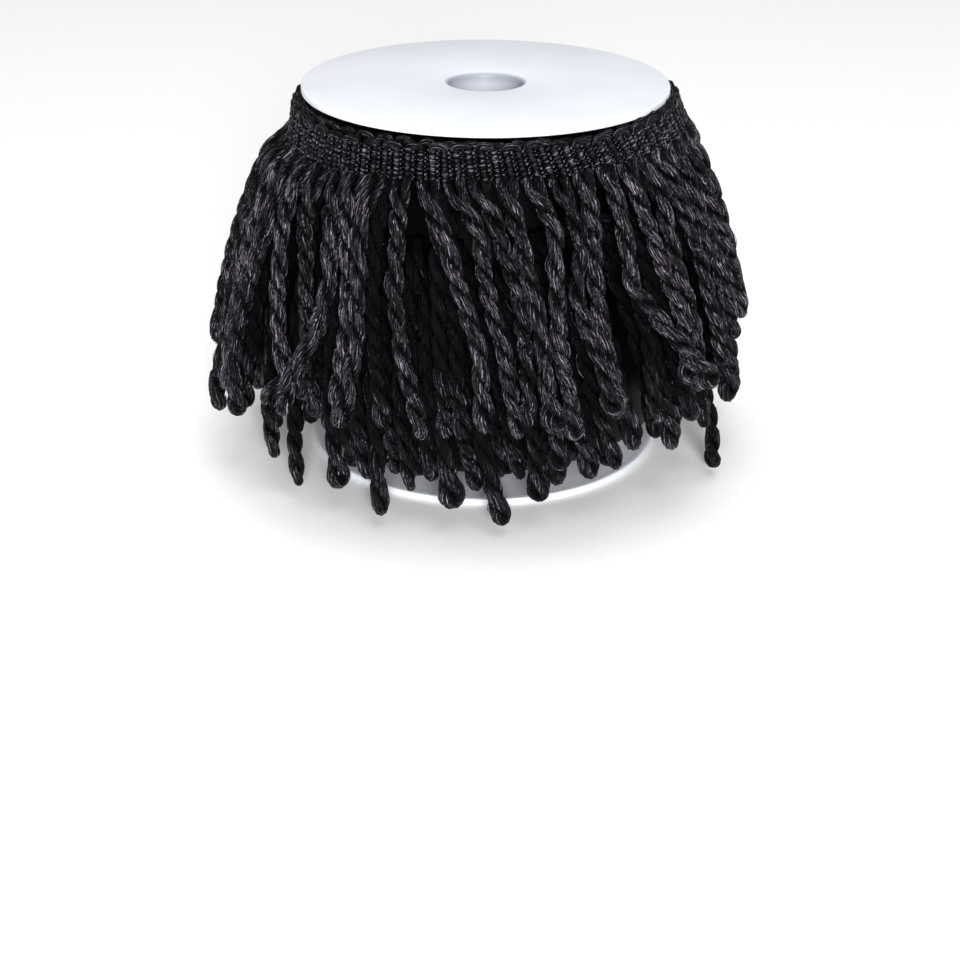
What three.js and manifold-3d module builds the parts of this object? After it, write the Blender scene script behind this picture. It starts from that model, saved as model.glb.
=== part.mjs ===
// Twisted bullion fringe trim wound on a plain plastic spool, in millimetres, +Z up.
// The origin is on the spool's axis, where its lower flange stands on the table.
// The trim is one band: a woven heading with a comb of looped, twisted cords along its
// lower edge. Its turns climb the hub as they are wound. The last turn sits just outside
// the upper flange, and its cords flare out over those of the turns below.
import * as THREE from "three";
import { mergeVertices } from "three/addons/utils/BufferGeometryUtils.js";
import Module from "manifold-3d";

const wasm = await Module();
wasm.setup();

const GAP = 0.3; // between pieces that touch

// Spool
const SPOOL_HEIGHT = 78;
const FLANGE_RADIUS = 37.5;
const FLANGE_THICKNESS = 1.2;
const FLANGE_EDGE = 0.3; // chamfer of the flange's rim
const HUB_RADIUS = 9.5;
const BORE_RADIUS = 7.5;
const SPOOL_STEPS = 40; // facets round the spool

// Heading of the trim
const HEADING_WIDTH = 7;
const HEADING_TOP = 76.3; // of the last turn
const TURN_CLIMB = 16; // from the first turn up to the last one
const LAST_TURN_START = 38.9; // outside radius where the last turn comes out
const LAST_TURN_END = 39.8; // outside radius where the trim ends
const TRIM_END = THREE.MathUtils.degToRad(128); // at the back of the spool
const RIB_DEPTH = 0.4; // grooves between the heading's ribs
const RIBS_PER_CORD = 2;

// Fringe
const CORD_COUNT = 48; // on the last turn
const CORD_RADIUS = 1.8;
const CORD_BULGE = [0, 0.75, 1, 0.75]; // share of its radius that a cord stands out
const CORD_SWAY = THREE.MathUtils.degToRad(3); // how far a tip hangs aside
const TIP_REACH = 5; // a cord's tip below the gap beside it
const TIP_SPREAD = 2; // how much higher or lower a tip ends than its neighbours
const TIP_SETBACK = 1.2; // rounding of a tip towards the back
const TIER_DEPTH = 5; // from the last turn's cords in to those of the turns below
const SHOULDER_RISE = 1; // of the gap behind the last turn's tips
const UNDER_TUCK = { middle: 2, tip: 5 }; // how far the lower turns' cords lean in
const UNDER_SPREAD = 3;
const OVER_FLANGE = { rim: 3, hub: 5 }; // from the lower flange up to the packed cords

// Centre line of the last turn's cords, seen from the side
const BELL = [
  { height: 69.0, radius: 38.9 },
  { height: 66.0, radius: 43.1 },
  { height: 61.5, radius: 45.9 },
  { height: 54.5, radius: 49.0 },
  { height: 46.0, radius: 51.9 },
  { height: 37.0, radius: 54.2 },
  { height: 28.0, radius: 56.4 },
  { height: 18.0, radius: 57.2 },
  { height: 8.0, radius: 56.4 },
];

// Where the tips of both tiers of cords hang, by the angle round the spool in degrees
const HEM = [
  { angle: 0, height: 18, under: 7 },
  { angle: 90, height: 20, under: 6 },
  { angle: 180, height: 14, under: 6 },
  { angle: 270, height: 25, under: 6 },
  { angle: 360, height: 18, under: 7 },
];

const UNDER_FLANGE = SPOOL_HEIGHT - FLANGE_THICKNESS - GAP;
const HEADING_BOTTOM = HEADING_TOP - HEADING_WIDTH;
const WOUND_INSIDE = HUB_RADIUS + GAP;
const LAST_TURN_INSIDE = FLANGE_RADIUS + GAP;

const WHITE = { color: 0xeceff7, roughness: 0.45, metalness: 0 };
const BLACK = { color: 0x1b1a1d, roughness: 0.7, metalness: 0 };

// A repeatable number from -1 to 1 for item n of a numbered series.
function uneven(n, series) {
  const x = Math.sin(n * 12.9898 + series * 78.233) * 43758.5453;
  return 2 * (x - Math.floor(x)) - 1;
}

// The value between two rows of a table that is sorted by one of its columns.
function fromTable(table, column, at, wanted) {
  const rising = table.at(-1)[column] > table[0][column];
  const rows = rising ? table : table.toReversed();
  const next = rows.findIndex((row) => row[column] >= at);
  if (next === 0) return rows[0][wanted];
  if (next < 0) return rows.at(-1)[wanted];
  const [before, after] = [rows[next - 1], rows[next]];
  const share = (at - before[column]) / (after[column] - before[column]);
  return THREE.MathUtils.lerp(before[wanted], after[wanted], share);
}

function solidOf(geometry) {
  const bare = geometry.index ? geometry.toNonIndexed() : geometry.clone();
  bare.deleteAttribute("normal");
  bare.deleteAttribute("uv");
  const merged = mergeVertices(bare, 1e-4);
  return new wasm.Manifold(
    new wasm.Mesh({
      numProp: 3,
      vertProperties: merged.attributes.position.array,
      triVerts: new Uint32Array(merged.index.array),
    }),
  );
}

function geometryOf(solid) {
  const mesh = solid.getMesh();
  return new THREE.BufferGeometry()
    .setAttribute("position", new THREE.BufferAttribute(mesh.vertProperties, 3))
    .setIndex(new THREE.BufferAttribute(mesh.triVerts, 1));
}

// A closed profile of [radius, height] pairs turned once round the Z axis.
function turned(profile, steps) {
  const points = [...profile, profile[0]].map(([r, z]) => new THREE.Vector2(r, z));
  return new THREE.LatheGeometry(points, steps).rotateX(Math.PI / 2);
}

function onCircle(radius, angle) {
  return [radius * Math.cos(angle), radius * Math.sin(angle)];
}

function flange(bottom) {
  const top = bottom + FLANGE_THICKNESS;
  const edge = FLANGE_RADIUS - FLANGE_EDGE;
  const profile = [
    [BORE_RADIUS, bottom],
    [edge, bottom],
    [FLANGE_RADIUS, bottom + FLANGE_EDGE],
    [FLANGE_RADIUS, top - FLANGE_EDGE],
    [edge, top],
    [BORE_RADIUS, top],
  ];
  return turned(profile, SPOOL_STEPS);
}

function hub() {
  const bottom = FLANGE_THICKNESS + GAP;
  const profile = [
    [BORE_RADIUS, bottom],
    [HUB_RADIUS, bottom],
    [HUB_RADIUS, UNDER_FLANGE],
    [BORE_RADIUS, UNDER_FLANGE],
  ];
  return turned(profile, SPOOL_STEPS);
}

// The turns of the heading that climb the hub under the upper flange.
function climbingTurns() {
  const outside = LAST_TURN_INSIDE + GAP;
  const profile = [
    [WOUND_INSIDE, HEADING_BOTTOM - TURN_CLIMB],
    [outside, HEADING_BOTTOM],
    [outside, UNDER_FLANGE - GAP],
    [WOUND_INSIDE, HEADING_TOP - TURN_CLIMB],
  ];
  return solidOf(turned(profile, SPOOL_STEPS));
}

// The last turn of the heading, ribbed, with a step where the trim ends.
function lastTurn() {
  const outline = [];
  const ribs = RIBS_PER_CORD * CORD_COUNT;
  for (let i = 0; i < ribs; i++) {
    const crest = THREE.MathUtils.lerp(LAST_TURN_START, LAST_TURN_END, i / (ribs - 1));
    const start = TRIM_END + (2 * Math.PI * i) / ribs;
    const width = (2 * Math.PI) / ribs;
    outline.push(new THREE.Vector2(...onCircle(crest - RIB_DEPTH, start)));
    outline.push(new THREE.Vector2(...onCircle(crest, start + width / 2)));
  }
  const ring = new THREE.Shape(outline);
  const inside = new THREE.Path();
  inside.absarc(0, 0, LAST_TURN_INSIDE, 0, 2 * Math.PI, true);
  ring.holes.push(inside);
  const made = new THREE.ExtrudeGeometry(ring, {
    depth: HEADING_WIDTH,
    bevelEnabled: false,
    curveSegments: SPOOL_STEPS,
  });
  return solidOf(made.translate(0, 0, HEADING_BOTTOM));
}

// The cord that a column of the comb belongs to, and where it lies round the spool.
function columnOf(index) {
  const points = CORD_BULGE.length;
  const cord = Math.floor(index / points) % CORD_COUNT;
  const phase = index % points;
  const angle = (2 * Math.PI * index) / (points * CORD_COUNT) - Math.PI / 2;
  const degrees = (THREE.MathUtils.radToDeg(angle) + 360) % 360;
  const beside = (cord + CORD_COUNT - 1) % CORD_COUNT;
  const own = phase === 0 ? [cord, beside] : [cord, cord];
  const mean = (series) => (uneven(own[0], series) + uneven(own[1], series)) / 2;
  const bulge = CORD_BULGE[phase];
  const underBulge = CORD_BULGE[(phase + points / 2) % points];
  const hem = fromTable(HEM, "angle", degrees, "height");
  const under = fromTable(HEM, "angle", degrees, "under");
  return {
    angle,
    sway: CORD_SWAY * mean(2),
    bulge,
    underBulge,
    hem: hem + TIP_SPREAD * mean(1) + TIP_REACH * (1 - bulge) ** 2,
    under: under + UNDER_SPREAD * mean(3) + TIP_REACH * (1 - underBulge) ** 2,
  };
}

// A point on the outside of the last turn's cords.
function onBell(column, height, inset = 0) {
  const radius = fromTable(BELL, "height", height, "radius");
  return [radius + CORD_RADIUS * column.bulge - inset, height];
}

// A point on the outside of the cords of the turns below.
function onUnderTier(column, height, inset = 0) {
  const radius = fromTable(BELL, "height", height, "radius") - TIER_DEPTH;
  return [radius + CORD_RADIUS * (column.underBulge - 1) - inset, height];
}

// The side view of the comb at one column: from the hub out under the cords of the lower
// turns, up their outside, in behind the last turn's cords and up those to the heading.
function combProfile(column) {
  const top = HEADING_BOTTOM - GAP;
  const shoulder = column.hem + SHOULDER_RISE;
  const halfway = (shoulder + column.under) / 2;
  const rising = BELL.slice(1, -2).map((row) => row.height);
  const hubEnd = [WOUND_INSIDE, FLANGE_THICKNESS + OVER_FLANGE.hub];
  return [
    hubEnd,
    [FLANGE_RADIUS, FLANGE_THICKNESS + OVER_FLANGE.rim],
    onUnderTier(column, column.under, UNDER_TUCK.tip),
    onUnderTier(column, halfway, UNDER_TUCK.middle),
    onUnderTier(column, shoulder),
    onBell(column, column.hem, TIP_SETBACK * column.bulge),
    ...rising.toReversed().map((height) => onBell(column, height)),
    onBell(column, top),
    [LAST_TURN_INSIDE, top],
    [WOUND_INSIDE, top - TURN_CLIMB],
    hubEnd,
  ];
}

// The fringe as one comb of cords round the hub.
function fringe() {
  const columns = CORD_BULGE.length * CORD_COUNT;
  const outline = combProfile(columnOf(0)).map(([r, z]) => new THREE.Vector2(r, z));
  const comb = new THREE.LatheGeometry(outline, columns);
  const position = comb.attributes.position;
  for (let i = 0; i <= columns; i++) {
    const column = columnOf(i % columns);
    combProfile(column).forEach(([radius, height], row) => {
      const fall = Math.max(0, HEADING_BOTTOM - height) / HEADING_BOTTOM;
      const angle = column.angle + column.sway * fall;
      position.setXYZ(i * outline.length + row, ...onCircle(radius, angle), height);
    });
  }
  return solidOf(comb);
}

function part(name, geometry, finish) {
  const mesh = new THREE.Mesh(geometry, new THREE.MeshStandardMaterial(finish));
  mesh.name = name;
  return mesh;
}

const trimOnSpool = new THREE.Group();
trimOnSpool.add(
  part("spool_bottom_flange", flange(0), WHITE),
  part("spool_top_flange", flange(SPOOL_HEIGHT - FLANGE_THICKNESS), WHITE),
  part("spool_hub", hub(), WHITE),
  part("trim_heading", geometryOf(lastTurn().add(climbingTurns())), BLACK),
  part("trim_fringe", geometryOf(fringe()), BLACK),
);

export default trimOnSpool;
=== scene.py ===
"""Twisted bullion fringe trim wound on a plain plastic spool.

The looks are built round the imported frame: a moulded spool, the ribbed heading of the
trim's last turn, and the two-ply cords that hang from it and from the turns below.
"""

import math

import bmesh
import bpy
import numpy as np
from mathutils import Matrix, Vector, kdtree


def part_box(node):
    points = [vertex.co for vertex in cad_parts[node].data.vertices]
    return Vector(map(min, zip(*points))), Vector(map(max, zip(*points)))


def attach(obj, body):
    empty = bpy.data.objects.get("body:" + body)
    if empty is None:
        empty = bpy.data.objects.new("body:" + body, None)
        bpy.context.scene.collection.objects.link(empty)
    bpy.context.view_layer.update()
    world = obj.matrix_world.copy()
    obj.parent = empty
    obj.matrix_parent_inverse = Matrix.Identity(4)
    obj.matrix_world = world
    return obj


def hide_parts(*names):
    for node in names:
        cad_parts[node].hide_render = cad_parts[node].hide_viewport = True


bl_info = {
    "name": "Bullion Fringe on a Spool",
    "version": (1, 0, 0),
    "blender": (4, 5, 0),
    "location": "3D View > Sidebar > Fringe",
    "description": "Builds a roll of twisted bullion fringe on its spool",
    "category": "Object",
}

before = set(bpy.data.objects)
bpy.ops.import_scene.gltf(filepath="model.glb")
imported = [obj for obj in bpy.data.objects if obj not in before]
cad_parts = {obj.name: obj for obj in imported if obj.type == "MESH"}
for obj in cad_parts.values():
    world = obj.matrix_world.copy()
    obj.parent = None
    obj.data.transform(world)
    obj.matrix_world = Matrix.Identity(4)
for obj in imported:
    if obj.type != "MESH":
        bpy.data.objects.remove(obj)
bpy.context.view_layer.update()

MM = 0.001
TURN = 2 * math.pi
UP = np.array([0, 0, 1.0])
FLANGE_LOW, FLANGE_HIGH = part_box("spool_top_flange")
HUB_LOW, HUB_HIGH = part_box("spool_hub")

# Where the trim's outer end lies round the spool, and the height of its scallops in
# millimetres
TRIM_END = math.radians(128)
SCALLOP = 1.25

# How far apart neighbouring tubes and copies lie in the yarn's own coordinates, so that
# no two show the same filaments
YARN_OFFSET = 97.0
COPY_OFFSET = 7.0

# Where the camera's fitted view is centred on the spool's axis, and how the camera is
# turned off that point, in radians
VIEW_HEIGHT = 1.04 * FLANGE_HIGH.x
VIEW_ROLL = -0.00723
VIEW_PAN = -0.00239
VIEW_DROP = 0.122377


def named_rows(columns, *rows):
    """A table: each row's values under the names of its columns."""
    return tuple(dict(zip(columns.split(), row)) for row in rows)


def column(rows, name):
    """One column of a table."""
    return np.array([row[name] for row in rows])


# Edges of the heading's last turn by the angle round the spool, in millimetres: centre
# line of the ribs at the top and bottom edge, and how far the ribs lean aside
HEADING_EDGE = named_rows(
    "angle top bottom top_height bottom_height lean",
    (0, 38.3, 40.7, 76.9, 70.6, 2.2),
    (60, 38.3, 40.1, 76.4, 69.6, 1.0),
    (128, 38.4, 39.7, 75.8, 68.4, 0.0),
    (190, 38.6, 39.8, 75.6, 66.8, -0.8),
    (210, 38.6, 39.8, 75.3, 66.8, -0.9),
    (228, 38.5, 39.6, 75.1, 67.5, -0.5),
    (250, 38.4, 39.4, 75.7, 68.6, 0.0),
    (270, 38.4, 39.5, 76.2, 69.3, 1.2),
    (290, 38.3, 39.7, 76.3, 69.5, 2.4),
    (305, 38.3, 40.0, 76.2, 70.1, 3.0),
    (322, 38.3, 40.4, 76.8, 70.6, 2.7),
    (340, 38.3, 40.8, 77.1, 71.0, 2.5),
)

# Centre lines of the three tiers of cords, seen from the side, in millimetres
LAST_TURN_BELL = named_rows(
    "radius height",
    (39.4, 69.4),
    (40.4, 68.0),
    (42.8, 65.6),
    (44.7, 63.2),
    (46.0, 61.0),
    (48.2, 56.0),
    (50.0, 51.0),
    (51.7, 46.0),
    (53.0, 41.0),
    (54.4, 36.0),
    (55.5, 31.0),
    (56.4, 26.0),
    (56.9, 20.0),
    (56.9, 5.0),
)
MIDDLE_BELL = named_rows(
    "radius height",
    (36.5, 59.5),
    (40.5, 57.0),
    (43.8, 52.0),
    (46.6, 43.0),
    (49.0, 33.0),
    (50.8, 22.0),
    (51.0, 12.0),
    (50.5, 0.0),
)
INNER_BELL = named_rows(
    "radius height",
    (30.0, 49.0),
    (35.5, 47.5),
    (39.5, 43.0),
    (43.0, 35.0),
    (45.3, 25.0),
    (46.3, 15.0),
    (46.5, 5.0),
    (46.4, -6.0),
)

# Where the cords in front start to swing aside, and the heights at which the next table
# says how far each has swung
SWING_START = 68.5
SWING_HEIGHTS = (60, 50, 40, 30)

# Cords of the last turn that show in front: number from the trim's start, how far each
# stands out, how far it has swung aside at those heights and at its tip, and its tip's
# height
FRONT_CORDS = named_rows(
    "cord out aside tip",
    (6, 0.5, (3.0, 5.0, 7.0, 8.5, 9.0), 26.5),
    (7, 0.3, (3.0, 5.0, 6.5, 8.0, 8.5), 25.5),
    (8, 0.3, (3.0, 5.0, 6.0, 6.5, 7.0), 21.5),
    (9, 0.0, (3.0, 4.5, 5.5, 5.0, 5.0), 19.0),
    (10, 0.3, (2.9, 4.1, 3.5, 2.7, 5.6), 16.5),
    (11, 0.0, (2.6, 6.8, 9.7, 13.6, 15.3), 22.5),
    (12, -0.3, (2.3, 7.0, 10.0, 11.5, 11.6), 27.0),
    (13, 0.8, (5.6, 8.7, 7.9, 3.0, -3.2), 24.0),
    (14, -1.2, (1.8, 5.1, 5.9, 6.3, 6.4), 27.0),
    (15, 0.3, (1.2, 3.3, 3.4, 2.7, 1.1), 24.0),
    (16, 0.0, (2.1, 3.2, 6.0, 9.4, 10.8), 24.5),
    (17, 0.8, (6.4, 10.7, 14.4, 16.0, 16.4), 26.0),
    (18, -0.6, (6.4, 8.2, 11.7, 14.4, 15.3), 24.5),
    (19, -2.6, (4.1, 7.6, 9.0, 10.1, 10.5), 26.0),
    (20, 0.5, (2.4, 4.3, 5.9, 7.4, 8.8), 26.0),
    (21, 0.0, (3.1, 2.8, 2.8, 4.6, 5.6), 23.5),
    (22, 0.3, (2.0, 0.2, 2.6, 5.5, 7.1), 28.0),
    (23, -2.0, (0.2, -1.2, -0.8, 0.2, 0.5), 26.0),
    (24, 1.2, (-1.2, -0.9, 6.2, 14.5, 16.8), 27.5),
    (25, -0.3, (0.2, 2.4, 5.8, 6.6, 6.7), 28.5),
    (26, -0.8, (0.5, 0.8, 1.3, 2.1, 1.9), 26.0),
    (27, -1.8, (1.5, 3.5, 5.0, 6.0, 6.5), 27.0),
    (28, -1.0, (2.0, 4.0, 6.0, 7.5, 8.0), 30.0),
    (29, -0.4, (2.5, 5.0, 7.0, 8.0, 8.5), 32.0),
    (30, -0.8, (2.5, 5.5, 8.0, 9.0, 9.5), 29.0),
    (31, -2.4, (2.5, 5.0, 7.0, 9.0, 9.5), 29.0),
    (32, -2.2, (2.5, 5.0, 7.0, 9.0, 9.5), 27.0),
)

# Tips of the turns below that show in front: angle round the spool, height, how far each
# stands out, and whether its loop is a fat one
LOWER_TIPS = named_rows(
    "angle tip out fat",
    (196.0, 12.5, 5.0, True),
    (204.0, 15.5, 1.0, False),
    (215.0, 8.0, 0.0, True),
    (224.0, 4.5, 0.0, False),
    (229.0, 21.0, -1.0, False),
    (236.5, 7.2, 0.0, True),
    (240.0, 11.0, -1.5, False),
    (243.5, 9.0, -0.8, True),
    (247.5, 3.8, 0.6, False),
    (250.5, 12.0, -1.5, False),
    (249.0, 24.0, 2.0, False),
    (254.0, 8.8, 0.0, False),
    (258.5, 12.0, -1.5, False),
    (262.5, 22.5, 2.0, False),
    (263.5, 8.0, 0.0, True),
    (265.5, 23.5, 1.5, True),
    (269.0, 10.0, -1.0, False),
    (274.5, 4.0, 0.4, False),
    (278.5, 13.0, -1.5, False),
    (282.5, 8.5, 0.0, True),
    (287.5, 14.0, 0.0, True),
    (295.0, 12.0, 0.0, True),
    (300.5, 13.0, 0.0, False),
    (305.5, 16.5, 0.0, True),
    (311.0, 19.0, 0.0, False),
    (316.5, 14.0, 0.0, True),
    (324.0, 17.0, 0.0, False),
    (330.0, 14.0, 0.0, False),
    (335.5, 2.8, 1.0, True),
    (344.0, 15.0, 1.0, True),
)

# Stretches of tips that don't show one by one: first and last angle, number of cords and
# mean height
MIDDLE_STRETCHES = named_rows(
    "first last count height",
    (349, 380, 4, 13.0),
    (380, 535, 22, 11.0),
    (535, 548, 2, 13.0),
)
INNER_STRETCHES = named_rows(
    "first last count height",
    (175, 235, 8, 14.0),
    (235, 290, 11, 11.0),
    (290, 375, 12, 14.0),
    (375, 535, 23, 10.0),
)

# Outline of the turns packed round the hub, in millimetres
PACKED_OUTLINE = named_rows(
    "radius height",
    (9.8, 7.5),
    (28.0, 5.6),
    (34.5, 6.0),
    (38.0, 9.0),
    (40.3, 16.0),
    (40.8, 26.0),
    (38.8, 42.0),
    (36.3, 54.0),
    (36.2, 66.0),
    (36.4, 75.6),
    (9.8, 75.6),
)


class SpoolSettings(bpy.types.PropertyGroup):
    """Sizes and colour of the moulded spool."""

    radius: bpy.props.FloatProperty(
        name="Flange Radius",
        description="Outer radius of both flanges",
        default=FLANGE_HIGH.x,
        unit="LENGTH",
        subtype="DISTANCE",
    )
    thickness: bpy.props.FloatProperty(
        name="Flange Thickness",
        description="Thickness of each flange",
        default=FLANGE_HIGH.z - FLANGE_LOW.z,
        unit="LENGTH",
        subtype="DISTANCE",
    )
    hole: bpy.props.FloatProperty(
        name="Spindle Hole Radius",
        description="Radius of the hole through the hub",
        default=7.5 * MM,
        unit="LENGTH",
        subtype="DISTANCE",
    )
    colour: bpy.props.FloatVectorProperty(
        name="Plastic Colour",
        description="Colour of the moulded plastic",
        default=(0.74, 0.76, 0.815),
        size=3,
        min=0,
        max=1,
        subtype="COLOR",
    )


class HeadingSettings(bpy.types.PropertyGroup):
    """Structure of the woven heading."""

    rows: bpy.props.IntProperty(
        name="Binding Rows",
        description="Rows of binding thread across the ribs",
        default=7,
        min=2,
    )
    rib_width: bpy.props.FloatProperty(
        name="Rib Width",
        description="Width of one rib of the heading",
        default=1.72 * MM,
        unit="LENGTH",
        subtype="DISTANCE",
    )
    rib_depth: bpy.props.FloatProperty(
        name="Rib Depth",
        description="Thickness of one rib from front to back",
        default=1.7 * MM,
        unit="LENGTH",
        subtype="DISTANCE",
    )


class FringeSettings(bpy.types.PropertyGroup):
    """Count, size and twist of the cords."""

    cords: bpy.props.IntProperty(
        name="Cords in the Last Turn",
        description="Number of cords that hang from the last turn of the heading",
        default=50,
        min=8,
    )
    length: bpy.props.FloatProperty(
        name="Cord Length",
        description="Length of one cord from the heading to its looped tip",
        default=48.5 * MM,
        unit="LENGTH",
        subtype="DISTANCE",
    )
    ply_radius: bpy.props.FloatProperty(
        name="Ply Radius",
        description="Radius of each of the two plies of a cord",
        default=0.85 * MM,
        unit="LENGTH",
        subtype="DISTANCE",
    )
    lay: bpy.props.FloatProperty(
        name="Lay Length",
        description="Length of cord in which the plies make one turn",
        default=10.6 * MM,
        unit="LENGTH",
        subtype="DISTANCE",
    )
    colour: bpy.props.FloatVectorProperty(
        name="Yarn Colour",
        description="Colour of the dyed yarn",
        default=(0.0082, 0.0071, 0.0093),
        size=3,
        min=0,
        max=1,
        subtype="COLOR",
    )


class StudioSettings(bpy.types.PropertyGroup):
    """Camera and light."""

    distance: bpy.props.FloatProperty(
        name="Camera Distance",
        description="From the middle of the spool to the camera",
        default=0.38027,
        unit="LENGTH",
        subtype="DISTANCE",
    )
    elevation: bpy.props.FloatProperty(
        name="Camera Elevation",
        description="Height of the camera above the horizon",
        default=0.343216,
        subtype="ANGLE",
    )
    lens: bpy.props.FloatProperty(
        name="Lens",
        description="Focal length of the camera",
        default=66.285,
        subtype="DISTANCE_CAMERA",
    )


def unit(vectors):
    """Vectors of length one."""
    return vectors / np.linalg.norm(vectors, axis=-1, keepdims=True)


def outwards(points):
    """Level directions away from the spool's axis, at points round it."""
    return unit(points * np.array([1, 1, 0]))


def smooth(share):
    """A share from 0 to 1, eased at both ends."""
    share = np.clip(share, 0, 1)
    return share * share * (3 - 2 * share)


def around(edge, name, angle):
    """A column of the edge's table by angle, eased from row to row all round the spool."""
    degrees = np.degrees(angle) % 360
    rows = [*edge, {**edge[0], "angle": 360}]
    value = np.zeros_like(degrees)
    for low, high in zip(rows, rows[1:]):
        share = smooth((degrees - low["angle"]) / (high["angle"] - low["angle"]))
        inside = (degrees >= low["angle"]) & (degrees <= high["angle"])
        value = np.where(inside, low[name] + share * (high[name] - low[name]), value)
    return value


def wander(random, count, steps, spacing):
    """Smooth random values from -1 to 1: count rows, each along a number of steps."""
    knots = random.uniform(-1, 1, (count, int(steps / spacing) + 4))
    at = np.arange(steps) / spacing
    low = at.astype(int)
    share = smooth(at - low)
    return knots[:, low] * (1 - share) + knots[:, low + 1] * share


def carried_frame(points, start):
    """Directions across each of many lines, carried along them without turning."""
    tangent = unit(np.gradient(points, axis=1))
    normal = np.empty_like(points)
    across = start
    for step in range(points.shape[1]):
        along = tangent[:, step]
        across = unit(across - (across * along).sum(-1, keepdims=True) * along)
        normal[:, step] = across
    return normal, np.cross(tangent, normal)


def running(gaps):
    """The sum of the gaps so far, from nought."""
    return np.concatenate([[0], np.cumsum(gaps)])


def line_gaps(line):
    """Distances from each point of a line to the next."""
    return np.linalg.norm(np.diff(line, axis=0), axis=1)


def read_line(wanted, length, line):
    """A line's values at wanted lengths along it."""
    return np.stack([np.interp(wanted, length, line[:, axis]) for axis in range(3)], 1)


def even_points(line, count):
    """A line's points moved to equal distances along it."""
    length = running(line_gaps(line))
    return read_line(np.linspace(0, length[-1], count), length, line)


def rounded_line(nodes, count):
    """A smooth line of equal steps through widely spaced nodes."""
    ahead = np.vstack([2 * nodes[0] - nodes[1], nodes, 2 * nodes[-1] - nodes[-2]])
    at = np.linspace(0, len(nodes) - 1, 4 * count)
    low = np.minimum(at.astype(int), len(nodes) - 2)
    share = (at - low)[:, None]
    before, near, far, after = (ahead[low + k] for k in range(4))
    bend = 2 * near + (far - before) * share
    bend = bend + (2 * before - 5 * near + 4 * far - after) * share**2
    bend = bend + (3 * near - before - 3 * far + after) * share**3
    return even_points(bend / 2, count)


def corner_angles(corners):
    """Angles of the corners of a ring."""
    return np.arange(corners) * TURN / corners


def crests(corners):
    """One at each raised corner of a fluted ring, nought at those between."""
    return (np.arange(corners) % 2 == 0).astype(float)


def new_object(name, data):
    """A new object of the scene."""
    item = bpy.data.objects.new(name, data)
    bpy.context.scene.collection.objects.link(item)
    return item


class Strands:
    """Tubes that are joined into one mesh, with their own coordinates along the yarn."""

    def __init__(self):
        self.points = []
        self.faces = []
        self.yarn = []
        self.tone = []
        self.painted_shading = []
        self.total = 0

    def add_tubes(
        self, centres, normal, side, radius, tone, painted_shading, turned=0.0, across=False
    ):
        """Adds tubes along lines of centres. radius is by tube, step and corner."""
        tubes, steps, corners = radius.shape
        corner = corner_angles(corners)
        angle = corner + np.broadcast_to(turned, (tubes, steps))[..., None]
        out = radius * np.cos(angle)
        beside = radius * np.sin(angle)
        ring = out[..., None] * normal[:, :, None] + beside[..., None] * side[:, :, None]
        self.points.append((centres[:, :, None] + ring).reshape(-1, 3))
        gaps = np.linalg.norm(np.diff(centres, axis=1), axis=2)
        along = np.concatenate([np.zeros((tubes, 1)), np.cumsum(gaps, axis=1)], axis=1)
        along = along + YARN_OFFSET * (self.total + np.arange(tubes))[:, None]
        along = np.broadcast_to(along[..., None], radius.shape)
        mean = radius.mean(axis=2, keepdims=True)
        if across:
            opposite = (corner - math.pi) % TURN
            place = [along, np.zeros_like(radius), mean * opposite]
        else:
            place = [mean * np.cos(corner), mean * np.sin(corner), along]
        self.yarn.append(np.stack(place, axis=-1).reshape(-1, 3))
        self.tone.append(np.repeat(tone, steps * corners))
        self.painted_shading.append(np.broadcast_to(painted_shading, radius.shape).ravel())
        first = sum(len(block) for block in self.points[:-1])
        self.add_grid(first, tubes, steps, corners)
        self.total += tubes

    def add_grid(self, first, tubes, steps, corners):
        """Faces of tubes whose rings follow each other, with both ends closed."""
        for tube in range(tubes):
            base = first + tube * steps * corners
            rings = base + np.arange(steps * corners).reshape(steps, corners)
            ahead = np.roll(rings, -1, axis=1)
            quads = np.stack([rings[:-1], ahead[:-1], ahead[1:], rings[1:]], axis=-1)
            self.faces.extend(map(tuple, quads.reshape(-1, 4).tolist()))
            self.faces.append(tuple(rings[0][::-1].tolist()))
            self.faces.append(tuple(rings[-1].tolist()))

    def add_copies(self, shape, places):
        """Adds a small closed shape at each place: a matrix of three by four."""
        points, faces = shape
        homogeneous = np.hstack([points, np.ones((len(points), 1))])
        placed = np.einsum("pij,kj->pki", places, homogeneous)
        first = sum(len(block) for block in self.points)
        self.points.append(placed.reshape(-1, 3))
        for copy in range(len(places)):
            base = first + copy * len(points)
            self.faces.extend(tuple(base + i for i in face) for face in faces)
        offset = np.arange(len(places))[:, None, None] * np.array([0, 0, COPY_OFFSET])
        self.yarn.append((points[None] + offset).reshape(-1, 3))
        self.tone.append(np.zeros(len(places) * len(points)))
        self.painted_shading.append(np.ones(len(places) * len(points)))

    def make(self, name, material):
        """The finished object, in metres."""
        points = np.vstack(self.points) * MM
        mesh = bpy.data.meshes.new(name)
        mesh.from_pydata(points.tolist(), [], self.faces)
        mesh.polygons.foreach_set("use_smooth", np.ones(len(mesh.polygons), bool))
        yarn = mesh.attributes.new("yarn", "FLOAT_VECTOR", "POINT")
        yarn.data.foreach_set("vector", np.vstack(self.yarn).astype(np.float32).ravel())
        # The second attribute carries painted highlights and painted shade, point by point, into
        # the yarn's colour.
        for title, values in (("tone", self.tone), ("painted_shading", self.painted_shading)):
            attribute = mesh.attributes.new(title, "FLOAT", "POINT")
            attribute.data.foreach_set("value", np.concatenate(values).astype(np.float32))
        mesh.materials.append(material)
        mesh.update()
        return new_object(name, mesh)


def new_material(name):
    """An empty node material with its principled shader."""
    material = bpy.data.materials.new(name)
    material.use_nodes = True
    nodes = material.node_tree.nodes
    return material, nodes, material.node_tree.links, nodes["Principled BSDF"]


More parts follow.
